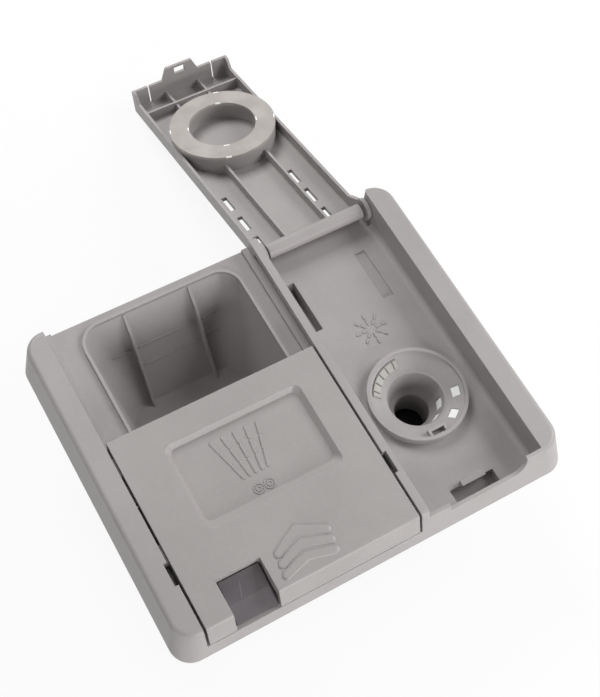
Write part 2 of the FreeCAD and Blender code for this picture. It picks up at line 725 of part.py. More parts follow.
def add_funnel(body):
    """Funnel into the tank: collar, cone, ledge, bowl and throat turned from one profile."""
    low_z = channel_z - FUNNEL_DEPTH
    cone_radius = funnel_radius - THIN_WALL
    cone_z = funnel_z - COLLAR_LIP

    def turned(grow):
        return turned_profile(
            [
                (0, funnel_z + SINK),
                (cone_radius + grow, funnel_z + SINK),
                (cone_radius + grow, cone_z),
                (ledge_radius + grow, funnel_ledge_z),
                (ledge_radius - BOWL_LEDGE + grow, funnel_ledge_z - RUNNER_CLEARANCE),
                (FUNNEL_THROAT + BOWL_FLARE + grow, bowl_z + BOWL_RISE),
                (FUNNEL_THROAT + grow, bowl_z),
                (FUNNEL_THROAT - THROAT_TAPER + grow, low_z),
                (0, low_z),
            ],
            360,
        )

    centre = V(channel_mid, funnel_y, 0)
    outer = turned(THIN_WALL).cut(block(-reach, reach, -reach, reach, funnel_z, reach))
    outer.translate(centre)
    inner = turned(0)
    inner.translate(centre)
    collar = rod(funnel_radius, centre + V(0, 0, channel_z - SINK), Z_AXIS, FUNNEL_HEIGHT + SINK)
    body = body.fuse(collar).fuse(outer).cut(inner)

    # Overflow windows through the side of the cone and of the bowl
    for angle in CONE_WINDOW_ANGLES:
        low = funnel_ledge_z + CONE_WINDOW_LIFT
        body = body.cut(radial_window(centre, angle, ledge_radius, low, CONE_WINDOW_HEIGHT))
    for angle in BOWL_WINDOW_ANGLES:
        low = bowl_z + BOWL_WINDOW_LIFT
        body = body.cut(radial_window(centre, angle, FUNNEL_THROAT, low, BOWL_WINDOW_HEIGHT))

    # Raised level plate on the rear of the cone
    slope = (cone_z - funnel_ledge_z) / (cone_radius - ledge_radius)
    r0 = ledge_radius + LEVEL_PLATE_MARGIN
    r1 = cone_radius - LEVEL_PLATE_MARGIN
    z0 = funnel_ledge_z + LEVEL_PLATE_MARGIN * slope
    z1 = cone_z - LEVEL_PLATE_MARGIN * slope
    plate = turned_profile(
        [(r0, z0 - SINK), (r1, z1 - SINK), (r1, z1 + LEVEL_PLATE_RISE), (r0, z0 + LEVEL_PLATE_RISE)],
        LEVEL_PLATE_SWEEP,
    )
    plate.rotate(V(0, 0, 0), Z_AXIS, LEVEL_PLATE_START)
    plate.translate(centre)
    body = body.fuse(plate)

    # Small keeper inside the front of the collar
    x0 = channel_mid - KEEPER_LEFT
    x1 = x0 + KEEPER_WIDTH
    y0 = funnel_y - funnel_radius + THIN_WALL / 2
    y1 = y0 + KEEPER_LENGTH
    low = funnel_ledge_z + 2 * SINK
    keeper = block(x0, x1, y0, y1, low, funnel_z - SMALL_GAP)
    slot = block(
        x0 + KEEPER_WALL, x1 - KEEPER_WALL, y0 + KEEPER_WALL, y1 - KEEPER_WALL, low + SINK, funnel_z,
    )
    return body.fuse(keeper.cut(slot))


def radial_window(centre, angle, radius, low, height):
    window = block(
        radius - WINDOW_INSIDE, radius + WINDOW_OUTSIDE + THIN_WALL,
        -WINDOW_WIDTH / 2, WINDOW_WIDTH / 2, low, low + height,
    )
    window.rotate(V(0, 0, 0), Z_AXIS, angle)
    window.translate(centre)
    return window


def make_detergent_lid():
    """Shell with a deep front wall, a dished recess, a button window and runners."""
    lid = side_profile(
        [
            (lid_y1, lid_low_z),
            (lid_y1, top_z),
            (lid_y0, top_z),
            (front_face(lid_front_z), lid_front_z),
            (front_face(lid_front_z) + WALL, lid_front_z),
            (front_face(lid_low_z) + WALL, lid_low_z),
        ],
        lid_x0, lid_x1,
    )
    front_edge = [
        e for e in lid.Edges
        if abs(e.BoundBox.YMax - lid_y0) < TINY and e.BoundBox.ZMin > top_z - TINY
    ]
    lid = lid.makeFillet(LID_EDGE_ROUND, front_edge)
    lid = lid.cut(side_profile(
        [
            (lid_y1 - THIN_WALL, 0),
            (lid_y1 - THIN_WALL, plate_z),
            (front_face(plate_z) + WALL, plate_z),
            (front_face(0) + WALL, 0),
        ],
        lid_x0 + THIN_WALL, lid_x1 - THIN_WALL,
    ))
    lid = lid.fuse(recess_dish(THIN_WALL, top_z - RECESS_DEPTH - THIN_WALL, plate_z + CLOSE_GAP))
    lid = lid.cut(recess_dish(0, top_z - RECESS_DEPTH, top_z))

    # Window over the release button, with a wall around it
    x0 = button_x0 - BUTTON_CLEARANCE
    x1 = button_x1 + BUTTON_CLEARANCE
    y1 = button_y1 + BUTTON_CLEARANCE / 2
    lid = lid.fuse(block(
        x0 - THIN_WALL, x1 + THIN_WALL, front_y, y1 + THIN_WALL, lid_low_z, plate_z + CLOSE_GAP,
    ))
    lid = lid.cut(block(x0, x1, -reach, y1, 0, reach))

    # Runners in the rail grooves, and the finger that the return spring pushes on
    for y in runner_y:
        y0 = y - RUNNER_LENGTH / 2
        y1 = y + RUNNER_LENGTH / 2
        lid = lid.fuse(block(lid_x1 - SINK, tray_x1 + RUNNER_DEPTH, y0, y1, runner_z0, runner_z1))
        lid = lid.fuse(block(tray_x0 - RUNNER_DEPTH, lid_x0 + SINK, y0, y1, runner_z0, runner_z1))
    finger_x0 = lid_spring_x - LID_SPRING_RADIUS
    finger_y1 = runner_front + GUIDE_LEDGE
    lid = lid.fuse(block(finger_x0, lid_x0, runner_front, finger_y1, runner_z0, runner_z1))
    return lid.removeSplitter()


def recess_dish(grow, z_low, z_high):
    """Dished thumb recess of the lid, steeper at the rear than at the front."""
    x0 = lid_x0 + RECESS_LEFT - grow
    x1 = lid_x1 - RECESS_RIGHT + grow
    y0 = lid_y0 + RECESS_FRONT - grow
    y1 = lid_y1 - RECESS_REAR + grow
    low = outline(
        x0 + RECESS_SLOPE, x1 - RECESS_SLOPE, y0 + 1.7 * RECESS_SLOPE, y1 - 0.8 * RECESS_SLOPE,
        RECESS_RADIUS + grow, z_low,
    )
    return loft(low, outline(x0, x1, y0, y1, RECESS_RADIUS + grow, z_high))


def make_chamber_seal():
    """Soft frame under the lid that closes on the chamber rim."""
    low = rim_z + SMALL_GAP
    height = plate_z - low
    outer = prism(chamber_outline(RIM_WIDTH + SEAL_LIP, low, 0), height)
    seal = outer.cut(prism(chamber_outline(0, low, 0), height))
    seal.translate(V(0, -lid_travel, 0))
    return seal


def make_release_button():
    """Creased cap on a stem, with the arm, latch hook and foot moulded on."""
    crease_y = front_y + BUTTON_CREASE
    nose_y = front_y - BUTTON_NOSE
    cap = side_profile(
        [
            (button_y1, button_low),
            (button_y1, button_high),
            (crease_y, button_high - BUTTON_DIP),
            (nose_y, button_low + BUTTON_LIP),
            (nose_y, button_low),
        ],
        button_x0, button_x1,
    )
    crease = [
        e for e in cap.Edges
        if abs(e.BoundBox.YMax - crease_y) < TINY and e.BoundBox.YLength < TINY
    ]
    cap = cap.makeFillet(BUTTON_ROUND, crease)
    stem = block(stem_x0, stem_x1, stem_y0, stem_y1, arm_z0, button_low + SINK)
    arm = block(stem_x0, stem_x1, stem_y0, hook_y1, arm_z0, arm_z1)
    cross = block(stem_x0, hook_x1, hook_y0 - WALL, hook_y1, arm_z0, arm_z1)
    hook = block(hook_x0, hook_x1, hook_y0, hook_y1, arm_z0, bay_z)
    leg_y0 = drive_y - LEVER_WIDTH / 2
    leg_y1 = drive_y + LEVER_WIDTH / 2
    leg = block(foot_x1 - THIN_WALL, foot_x1, leg_y0, leg_y1, foot_z - WALL, arm_z0 + SINK)
    bridge = block(button_mid, foot_x1, leg_y0, leg_y1, arm_z0, arm_z1)
    foot = block(foot_x1 - FOOT_LENGTH, foot_x1, leg_y0, leg_y1, foot_z - WALL, foot_z)
    return join([cap, stem, arm, cross, hook, leg, bridge, foot])


def make_rinse_lid():
    """Flip lid drawn shut, then turned about its hinge to the open stop."""
    x0 = channel_x0 + RINSE_LID_GAP
    x1 = channel_x1 - RINSE_LID_GAP
    plate_low = top_z - RINSE_PLATE
    wall_low = top_z - RINSE_WALL
    start_y = hinge_y - EAR_RADIUS - RUNNER_CLEARANCE
    parts = [block(x0, x1, rinse_end_y, start_y, plate_low, top_z)]
    for x in (x0, x1 - RINSE_SIDE):
        parts.append(block(x, x + RINSE_SIDE, rinse_end_y, start_y, wall_low, top_z))
    parts += hinge_parts(start_y, plate_low, wall_low)
    parts += seal_seat_parts(plate_low)
    parts += rib_parts(x0, x1, start_y, plate_low, wall_low + RIB_LOW)
    parts += latch_end_parts(x0, x1, wall_low)
    lid = join(parts)

    # Slits free the latch tongue, which has a finger hole
    for x in (channel_mid - SLIT_PITCH / 2, channel_mid + SLIT_PITCH / 2):
        lid = lid.cut(block(
            x - SLIT / 2, x + SLIT / 2, rinse_end_y - SINK, rinse_end_y + RINSE_END + CLOSE_GAP,
            post_low - SINK, plate_low - SINK,
        ))
    hole_low = tongue_low + LATCH_THICKNESS
    lid = lid.cut(block(
        channel_mid - TONGUE_HOLE_WIDTH / 2, channel_mid + TONGUE_HOLE_WIDTH / 2,
        rinse_end_y - SINK, rinse_end_y + RINSE_END + SINK, hole_low, hole_low + TONGUE_HOLE_HEIGHT,
    ))

    # Drain slots through the plate between the ribs and the walls
    for x in (x0 + DRAIN_LEFT, x1 - DRAIN_RIGHT):
        for step in range(DRAIN_COUNT):
            y1 = start_y - DRAIN_REAR - DRAIN_PITCH * step
            lid = lid.cut(block(
                x - DRAIN_WIDTH / 2, x + DRAIN_WIDTH / 2, y1 - DRAIN_LENGTH, y1, 0, reach,
            ))
    return open_lid(lid.removeSplitter())


def hinge_parts(start_y, plate_low, wall_low):
    """Round hinge bar on a web, two ears and the moulded pins."""
    web = [
        (hinge_y - BAR_RADIUS * 0.6, hinge_z + BAR_RADIUS * 0.75),
        (start_y, top_z),
        (start_y - WALL, top_z),
        (start_y - WALL, plate_low),
        (hinge_y - BAR_RADIUS, hinge_z - 2 * SINK),
    ]
    ear_flat = EAR_RADIUS * 0.84
    ear_half = EAR_RADIUS * 0.54
    ear = [
        (hinge_y - ear_flat, hinge_z + ear_half),
        (start_y, top_z),
        (start_y - EAR_LENGTH, top_z),
        (start_y - EAR_LENGTH, wall_low),
        (hinge_y - ear_flat, hinge_z - ear_half),
    ]
    ear_x0 = channel_x0 + SMALL_GAP
    ear_x1 = channel_x1 - SMALL_GAP
    bar_x0 = ear_x0 + EAR_WIDTH + BAR_END_GAP
    bar_x1 = ear_x1 - EAR_WIDTH - BAR_END_GAP
    pin_length = pin_reach + SMALL_GAP + SINK
    parts = [
        rod(BAR_RADIUS, V(bar_x0, hinge_y, hinge_z), X_AXIS, bar_x1 - bar_x0),
        side_profile(web, bar_x0, bar_x1),
        rod(PIN_RADIUS, V(channel_x0 - pin_reach, hinge_y, hinge_z), X_AXIS, pin_length),
        rod(PIN_RADIUS, V(ear_x1 - SINK, hinge_y, hinge_z), X_AXIS, pin_length),
    ]
    for x in (ear_x0, ear_x1 - EAR_WIDTH):
        parts.append(rod(EAR_RADIUS, V(x, hinge_y, hinge_z), X_AXIS, EAR_WIDTH))
        parts.append(side_profile(ear, x, x + EAR_WIDTH))
    return parts


def seal_seat_parts(plate_low):
    """Two round walls that hold the soft ring."""
    low = funnel_z + SEAL_CLEARANCE + SEAL_THICKNESS
    centre = V(channel_mid, funnel_y, low)
    height = plate_low - low + SINK
    outer = seal_outer - SEAT_INSET
    inner = seal_inner + SEAT_INSET
    return [
        tube(centre, Z_AXIS, outer, outer - SEAT_WALL, height),
        tube(centre, Z_AXIS, inner + SEAT_WALL, inner, height),
    ]


def rib_parts(x0, x1, start_y, plate_low, rib_low):
    """Long ribs to the hinge, short ribs to the latch end and one rib across."""
    high = plate_low + SINK
    half = RINSE_RIB / 2
    parts = []
    for side in (-1, 1):
        x = channel_mid + side * LONG_RIB_PITCH / 2
        rear_y0 = funnel_y + seal_outer - SEAT_WALL - 2 * RINSE_RIB
        parts.append(block(x - half, x + half, rear_y0, start_y - SINK, rib_low, high))
        x = channel_mid + side * SHORT_RIB_PITCH / 2
        front_y1 = funnel_y - seal_outer + SEAT_WALL + RINSE_RIB
        parts.append(block(x - half, x + half, rinse_end_y + SINK, front_y1, rib_low + RIB_LOW, high))
    cross_y = rinse_end_y + CROSS_RIB
    parts.append(block(x0 + SINK, x1 - SINK, cross_y, cross_y + RINSE_RIB, rib_low, high))
    return parts


def latch_end_parts(x0, x1, wall_low):
    """End wall with its corner posts and the tapered latch tongue."""
    parts = [block(x0, x1, rinse_end_y, rinse_end_y + RINSE_END, post_low, top_z)]
    post = [
        (rinse_end_y, post_low),
        (rinse_end_y + POST_LENGTH / 2, post_low),
        (rinse_end_y + POST_LENGTH, wall_low),
        (rinse_end_y, wall_low),
    ]
    for x in (x0, x1 - RINSE_SIDE):
        parts.append(side_profile(post, x, x + RINSE_SIDE))
    half = TONGUE_WIDTH / 2
    tongue = [
        (channel_mid - half, post_low + SINK),
        (channel_mid - half + TONGUE_TAPER, tongue_low),
        (channel_mid + half - TONGUE_TAPER, tongue_low),
        (channel_mid + half, post_low + SINK),
    ]
    parts.append(front_profile(tongue, rinse_end_y, rinse_end_y + RINSE_END))
    return parts


def open_lid(shape):
    shape.rotate(V(0, hinge_y, hinge_z), X_AXIS, -180 - OPEN_TILT)
    return shape


def make_rinse_seal():
    """Flat soft ring, nicked where it was held in its mould."""
    centre = V(channel_mid, funnel_y, funnel_z + SEAL_CLEARANCE)
    seal = tube(centre, Z_AXIS, seal_outer, seal_inner, SEAL_THICKNESS)
    nick = block(-NICK_LENGTH / 2, NICK_LENGTH / 2, -NICK_WIDTH / 2, NICK_WIDTH / 2, -SINK, NICK_DEPTH)
    for angle in NICK_ANGLES:
        for radius in (seal_outer, seal_inner):
            cut = nick.copy()
            cut.translate(V(0, radius, 0))
            cut.rotate(V(0, 0, 0), Z_AXIS, angle)
            cut.translate(centre)
            seal = seal.cut(cut)
    return open_lid(seal)


def make_gasket():
    """Rubber strip under the skirt, all round."""
    half = top_width / 2 + SIDE_FLARE - GASKET_INSET
    y0 = front_face(0) + GASKET_INSET
    y1 = floor_end - SMALL_GAP

    def loop(inset):
        wire = outline(
            -half + inset, half - inset, y0 + inset, y1 - inset, CORNER_RADIUS - inset, -GASKET_HEIGHT,
        )
        return prism(wire, GASKET_HEIGHT)

    return loop(0).cut(loop(GASKET_WIDTH))


def open_box(x0, x1, y0, y1):
    """Tub with an even wall and rounded edges, open at the door plane."""
    tub = prism(outline(x0, x1, y0, y1, HOUSING_RADIUS, rear_z), REAR_DEPTH)
    low_edges = [e for e in tub.Edges if e.BoundBox.ZMax < rear_z + TINY]
    tub = tub.makeFillet(HOUSING_EDGE, low_edges)
    inner = outline(x0 + WALL, x1 - WALL, y0 + WALL, y1 - WALL, HOUSING_RADIUS - WALL, rear_z + WALL)
    return tub.cut(prism(inner, REAR_DEPTH))


def make_tank():
    """Milky tub welded under the channel, with a valve spigot on its left wall."""
    tub = open_box(tank_x0, tank_x1, tank_y0, tank_y1)
    tub = tub.fuse(rod(SPIGOT_RADIUS, drive_point(spigot_x), X_AXIS, tank_x0 + WALL / 2 - spigot_x))
    tub = tub.cut(rod(SPIGOT_BORE, drive_point(spigot_x), X_AXIS, tank_x0 + WALL - spigot_x))
    baffle_y = funnel_y + FUNNEL_THROAT + BAFFLE_GAP
    for x0, x1 in (
        (tank_x0 + WALL / 2, channel_mid - BAFFLE_PASSAGE / 2),
        (channel_mid + BAFFLE_PASSAGE / 2, tank_x1 - WALL / 2),
    ):
        tub = tub.fuse(block(x0, x1, baffle_y, baffle_y + THIN_WALL, rear_z + WALL / 2, rear_z / 2))
    return tub.removeSplitter()


def make_cover():
    """Tub over the release drive, with screw seats, a cradle and the latch spring's post."""
    tub = open_box(cover_x0, cover_x1, cover_y0, cover_y1)
    seat_z = rear_z + WALL / 2
    for x, y in screw_points:
        tub = tub.fuse(rod(boss_radius + WALL / 2, V(x, y, seat_z), Z_AXIS, screw_boss_z - seat_z))
    for x, y in screw_points:
        head_room = SMALL_GAP + SCREW_HEAD_HEIGHT + CLOSE_GAP
        tub = tub.cut(rod(SCREW_HEAD + SMALL_GAP, V(x, y, rear_z), Z_AXIS, head_room))
        tub = tub.cut(rod(SCREW_RADIUS + SMALL_GAP, V(x, y, rear_z), Z_AXIS, BOSS_LIFT))
    cradle_z = drive_z - SOLENOID_DEPTH / 2
    for x in (frame_x0 + CRADLE, frame_x1 - 2 * CRADLE):
        rib_y0 = cover_y0 + WALL / 2
        rib_y1 = cover_y1 - WALL / 2
        tub = tub.fuse(block(x, x + CRADLE, rib_y0, rib_y1, seat_z, cradle_z))
    post_radius = LATCH_SPRING_RADIUS + 2 * SPRING_WIRE
    post = rod(post_radius, V(button_mid, latch_spring_y, seat_z), Z_AXIS, latch_spring_z - seat_z)
    tub = tub.fuse(post)
    tub = tub.cut(rod(SPIGOT_RADIUS + SMALL_GAP, drive_point(cover_x1 - 2 * WALL), X_AXIS, 3 * WALL))
    side = 2 * SMALL_GAP
    passage = block(
        stem_x0 - side, stem_x1 + side, cover_y0 - side, cover_y0 + WALL + side, arm_z0 - side, WALL,
    )
    return tub.cut(passage).removeSplitter()


def make_screws():
    """Four cross-head screws, sunk into the cover."""
    screws = []
    arm = SCREW_HEAD * 2 / 3
    for x, y in screw_points:
        head_z = rear_z + SMALL_GAP
        shank_z = head_z + SCREW_HEAD_HEIGHT - SMALL_GAP
        screw = rod(SCREW_HEAD, V(x, y, head_z), Z_AXIS, SCREW_HEAD_HEIGHT)
        screw = screw.fuse(rod(SCREW_RADIUS, V(x, y, shank_z), Z_AXIS, SCREW_LENGTH))
        cross = block(
            x - SCREW_SLOT / 2, x + SCREW_SLOT / 2, y - arm, y + arm, rear_z, rear_z + SCREW_SLOT_DEPTH,
        )
        turned = cross.copy()
        turned.rotate(V(x, y, 0), Z_AXIS, 90)
        screws.append(screw.cut(cross).cut(turned))
    return Part.makeCompound(screws)


# Solenoid: the bobbin fills the folded frame between its two end plates
bobbin_x0 = frame_x0 + SHEET
bobbin_length = SOLENOID_LENGTH - 2 * SHEET
bobbin_bore = PLUNGER_RADIUS + RUNNING_FIT
bobbin_core = bobbin_bore + BOBBIN_WALL
bobbin_flange = SOLENOID_DEPTH / 2 - SHEET - SMALL_GAP
terminal_z = drive_z + bobbin_flange - CHEEK_RIM


def make_solenoid_frame():
    """Steel strip folded into a U, with a hole in each end plate."""
    half_y = SOLENOID_WIDTH / 2
    half_z = SOLENOID_DEPTH / 2
    frame = block(frame_x0, frame_x1, drive_y - half_y, drive_y + half_y, drive_z - half_z, drive_z + half_z)
    frame = frame.cut(block(
        bobbin_x0, bobbin_x0 + bobbin_length, -reach, reach, drive_z - half_z + SHEET, reach,
    ))
    return frame.cut(rod(PLUNGER_RADIUS + SMALL_GAP, drive_point(frame_x0), X_AXIS, SOLENOID_LENGTH))


def make_bobbin():
    """Moulded bobbin: core, two flanges and the cheek that holds the terminals."""
    bobbin = tube(drive_point(bobbin_x0), X_AXIS, bobbin_core, bobbin_bore, bobbin_length)
    for x in (bobbin_x0, bobbin_x0 + bobbin_length - SHEET):
        bobbin = bobbin.fuse(tube(drive_point(x), X_AXIS, bobbin_flange, bobbin_bore, SHEET))
    half = CHEEK_WIDTH / 2
    cheek = block(
        bobbin_x0, bobbin_x0 + CHEEK_LENGTH, drive_y - half, drive_y + half, drive_z + bobbin_bore, terminal_z,
    )
    ring = rod(bobbin_flange - SHEET, drive_point(bobbin_x0), X_AXIS, bobbin_length)
    return bobbin.fuse(cheek.cut(ring)).removeSplitter()


def make_winding():
    length = bobbin_length - SHEET - CHEEK_LENGTH - 2 * WINDING_GAP
    start = drive_point(bobbin_x0 + CHEEK_LENGTH + WINDING_GAP)
    return tube(start, X_AXIS, bobbin_flange - SHEET - SMALL_GAP, bobbin_core + RUNNING_FIT, length)


def make_terminals():
    x0 = bobbin_x0 + SHEET + CLOSE_GAP
    half = BLADE_THICKNESS / 2
    blades = []
    for y in (drive_y - BLADE_PITCH / 2, drive_y + BLADE_PITCH / 2):
        blades.append(block(
            x0, x0 + BLADE_WIDTH, y - half, y + half, terminal_z, terminal_z + BLADE_LENGTH,
        ))
    return Part.makeCompound(blades)


def make_plunger():
    """Steel core with a thin tail for the lever, a spring collar and a socket for the rod."""
    core = rod(PLUNGER_RADIUS, drive_point(frame_x0), X_AXIS, collar_x - frame_x0)
    tail = rod(TAIL_RADIUS, drive_point(tail_x), X_AXIS, frame_x0 + SINK - tail_x)
    collar_start = drive_point(collar_x - COLLAR_THICKNESS)
    collar = rod(PLUNGER_RADIUS + COLLAR_FLANGE, collar_start, X_AXIS, COLLAR_THICKNESS)
    socket = rod(ROD_RADIUS + RUNNING_FIT, drive_point(collar_x - ROD_SOCKET), X_AXIS, ROD_SOCKET)
    return join([core, tail, collar]).cut(socket)


def make_lever():
    """Bell crank: one arm meets the plunger's tail, the other the trip spring."""
    half = LEVER_WIDTH / 2
    thick = LEVER_THICKNESS / 2
    y0 = drive_y - half
    y1 = drive_y + half
    pivot = V(lever_x, y0, lever_z)
    hub = rod(PIN_RADIUS + THIN_WALL, pivot, Y_AXIS, LEVER_WIDTH)
    drop = block(lever_x - thick, lever_x + thick, y0, y1, drive_z, lever_z)
    nose = rod(half, V(lever_x, y0, drive_z), Y_AXIS, LEVER_WIDTH)
    arm = block(lever_x, lever_x + LEVER_REACH, y0, y1, lever_low, lever_z + half)
    return join([hub, drop, nose, arm]).cut(rod(PIN_RADIUS + RUNNING_FIT, pivot, Y_AXIS, LEVER_WIDTH))


def make_lever_pin():
    length = LEVER_WIDTH + 2 * (SMALL_GAP + WALL)
    return rod(PIN_RADIUS, V(lever_x, drive_y - length / 2, lever_z), Y_AXIS, length)


def make_lid_spring():
    start = V(lid_spring_x, lid_spring_y0, (runner_z0 + runner_z1) / 2)
    return coil(start, Y_AXIS, LID_SPRING_RADIUS, LID_SPRING_PITCH, LID_SPRING_LENGTH)


def make_latch_spring():
    start = V(button_mid, latch_spring_y, latch_spring_z)
    return coil(start, Z_AXIS, LATCH_SPRING_RADIUS, LATCH_SPRING_PITCH, LATCH_SPRING_LENGTH)


def make_plunger_spring():
    room = SPRING_ROOM - COLLAR_THICKNESS
    radius = PLUNGER_RADIUS + PLUNGER_SPRING_GAP
    return coil(drive_point(frame_x1), X_AXIS, radius, PLUNGER_SPRING_PITCH, room)


def make_trip_spring():
    """Short coil between the lever's arm and the button's foot, which lets either one move alone."""
    x = lever_x + LEVER_REACH - TRIP_SPRING_RADIUS - SPRING_WIRE - SMALL_GAP
    return coil(
        V(x, drive_y, foot_z), Z_AXIS, TRIP_SPRING_RADIUS, TRIP_SPRING_PITCH, TRIP_SPRING_LENGTH,
    )


def make_dosing_rod():
    x0 = collar_x - ROD_SOCKET
    return rod(ROD_RADIUS, drive_point(x0), X_AXIS, valve_x0 - x0)


def make_valve_disc():
    return rod(VALVE_RADIUS, drive_point(valve_x0), X_AXIS, VALVE_THICKNESS)


pieces = {
    "front_body": make_front_body,
    "perimeter_gasket": make_gasket,
    "rinse_aid_tank": make_tank,
    "rear_cover": make_cover,
    "cover_screws": make_screws,
    "detergent_lid": make_detergent_lid,
    "chamber_seal": make_chamber_seal,
    "lid_return_spring": make_lid_spring,
    "release_button": make_release_button,
    "latch_spring": make_latch_spring,
    "trip_spring": make_trip_spring,
    "rinse_lid": make_rinse_lid,
    "rinse_lid_seal": make_rinse_seal,
    "solenoid_frame": make_solenoid_frame,
    "solenoid_bobbin": make_bobbin,
    "solenoid_winding": make_winding,
    "solenoid_terminals": make_terminals,
    "solenoid_plunger": make_plunger,
    "plunger_spring": make_plunger_spring,
    "dosing_rod": make_dosing_rod,
    "valve_disc": make_valve_disc,
    "release_lever": make_lever,
    "lever_pin": make_lever_pin,
}
os.makedirs("parts", exist_ok=True)
for name, make in pieces.items():
    save(make(), name)
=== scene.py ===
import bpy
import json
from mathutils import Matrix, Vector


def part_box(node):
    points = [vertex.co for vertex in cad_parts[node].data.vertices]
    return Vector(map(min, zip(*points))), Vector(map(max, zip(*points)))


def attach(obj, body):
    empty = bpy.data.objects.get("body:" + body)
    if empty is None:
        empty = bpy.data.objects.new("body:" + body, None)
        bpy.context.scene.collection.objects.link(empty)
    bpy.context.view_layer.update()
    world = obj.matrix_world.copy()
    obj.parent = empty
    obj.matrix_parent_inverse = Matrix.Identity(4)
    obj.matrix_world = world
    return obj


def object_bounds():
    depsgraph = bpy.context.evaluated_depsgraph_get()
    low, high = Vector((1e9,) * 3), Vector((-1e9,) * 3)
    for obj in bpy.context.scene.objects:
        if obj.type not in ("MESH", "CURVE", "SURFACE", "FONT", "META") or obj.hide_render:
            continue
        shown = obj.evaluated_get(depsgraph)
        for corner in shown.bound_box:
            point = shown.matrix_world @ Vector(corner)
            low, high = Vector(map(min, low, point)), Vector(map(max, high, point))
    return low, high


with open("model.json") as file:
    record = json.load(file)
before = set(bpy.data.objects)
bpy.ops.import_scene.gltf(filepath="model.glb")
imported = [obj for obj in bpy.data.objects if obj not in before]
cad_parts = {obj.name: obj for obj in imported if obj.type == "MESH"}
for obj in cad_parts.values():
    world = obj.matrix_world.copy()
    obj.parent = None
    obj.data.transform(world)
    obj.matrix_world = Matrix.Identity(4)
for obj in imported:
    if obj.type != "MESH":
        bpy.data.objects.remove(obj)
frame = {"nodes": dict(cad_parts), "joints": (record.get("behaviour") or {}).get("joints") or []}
cad_box = [list(corner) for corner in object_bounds()]

import json
import math

import bmesh
import bpy
from mathutils import Matrix, Vector


# Front body: one grey injection moulding in filled polypropylene that carries every other piece.
# Its satin skin comes from a finely eroded mould, and its edges are painted paler: partly rubbed wear,
# partly painted highlight.

class Shade:
    """One socket of a material's node tree, so that shader maths reads as plain sums."""

    def __init__(self, tree, socket=None):
        self.tree = tree
        self.socket = socket

    def node(self, kind, settings=None, sockets=None, output=0):
        """A node of this kind: its settings first, then the values or links of its sockets."""
        made = self.tree.nodes.new("ShaderNode" + kind)
        for name, value in (settings or {}).items():
            setattr(made, name, value)
        for name, value in (sockets or {}).items():
            if isinstance(value, Shade):
                self.tree.links.new(value.socket, made.inputs[name])
            else:
                made.inputs[name].default_value = value
        return Shade(self.tree, made.outputs[output] if made.outputs else None)

    def maths(self, operation, first, second=0.0):
        return self.node("Math", {"operation": operation}, {0: first, 1: second})

    def __add__(self, other):
        return self.maths("ADD", self, other)

    __radd__ = __add__

    def __sub__(self, other):
        return self.maths("SUBTRACT", self, other)

    def __rsub__(self, other):
        return self.maths("SUBTRACT", other, self)

    def __mul__(self, other):
        return self.maths("MULTIPLY", self, other)

    __rmul__ = __mul__

    def __abs__(self):
        return self.maths("ABSOLUTE", self)

    def between(self, low, high):
        """0 up to low, 1 from high on, with a soft step between them."""
        sockets = {"Value": self, "From Min": low, "From Max": high}
        return self.node("MapRange", {"interpolation_type": "SMOOTHSTEP", "clamp": True}, sockets)

    def colours(self, low, high):
        """Mix of two colours, by this value."""
        return self.node("Mix", {"data_type": "RGBA"}, {0: self, 6: low, 7: high}, output=2)


def start_material(name):
    """An empty material, and the shade that its nodes are added with."""
    material = bpy.data.materials.new(name)
    material.use_nodes = True
    material.node_tree.nodes.clear()
    return material, Shade(material.node_tree)


def tint(colour, factor=1.0):
    """The colour made lighter or darker, as a socket value."""
    return [channel * factor for channel in colour[:3]] + [1.0]


def noise(place, size, detail=2.0):
    """Cloudy value of about 0.3 to 0.7, with blots of this size in metres."""
    return place.node("TexNoise", {}, {"Vector": place, "Scale": 1 / size, "Detail": detail})


def satin_plastic(name, colour, roughness, edge_radius=0.0004):
    """Moulded plastic with flow clouding, a fine eroded grain and softened edges painted paler, as rubbed
    wear and as painted highlight.
    """
    flow_size = 0.030
    fleck_size = 0.0016
    grain_size = 0.00045
    grain_depth = 0.0002
    rub_and_highlight_share = 0.5
    material, shade = start_material(name)
    place = shade.node("TexCoord", output="Object")
    cloud = noise(place, flow_size, 3.0)
    fleck = noise(place, fleck_size)
    grain = noise(place, grain_size)
    rounded = shade.node("Bevel", {"samples": 6}, {"Radius": edge_radius})
    facing = shade.node("NewGeometry", output="Normal")
    level = shade.node("VectorMath", {"operation": "DOT_PRODUCT"}, {0: rounded, 1: facing}, output="Value")
    edge = (1 - level).between(0.02, 0.25)
    # Edges painted paler in specks: partly rubbed wear, partly a painted highlight along the rounding.
    rub_and_highlight = edge * fleck.between(0.42, 0.62) * rub_and_highlight_share
    mottle = (cloud * 0.75 + fleck * 0.25).between(0.30, 0.70)
    fresh = mottle.colours(tint(colour, 0.95), tint(colour, 1.05))
    skin = shade.node("Bump", {}, {
        "Strength": 0.22,
        "Distance": grain_depth,
        "Height": grain,
        "Normal": rounded,
    })
    plastic = shade.node("BsdfPrincipled", {}, {
        "Base Color": rub_and_highlight.colours(fresh, tint(colour, 1.35)),
        "Roughness": roughness - 0.08 + cloud * 0.10 + grain * 0.06,
        "Specular IOR Level": 0.42,
        "Normal": skin,
    })
    shade.node("OutputMaterial", {}, {"Surface": plastic})
    return material


def dress(material, *names):
    """Gives CAD nodes this finish."""
    for name in names:
        mesh = frame["nodes"][name].data
        mesh.materials.clear()
        mesh.materials.append(material)


warm_grey = (0.330, 0.312, 0.308)
body_plastic = satin_plastic("body_plastic", warm_grey, 0.46)
dress(body_plastic, "front_body")


# Moulded-in marks of the front body: the ray burst that stands for rinse aid, and the two fill lines on the
# chamber's rear wall. Each is a low ridge with sloped sides, engraved in the mould.

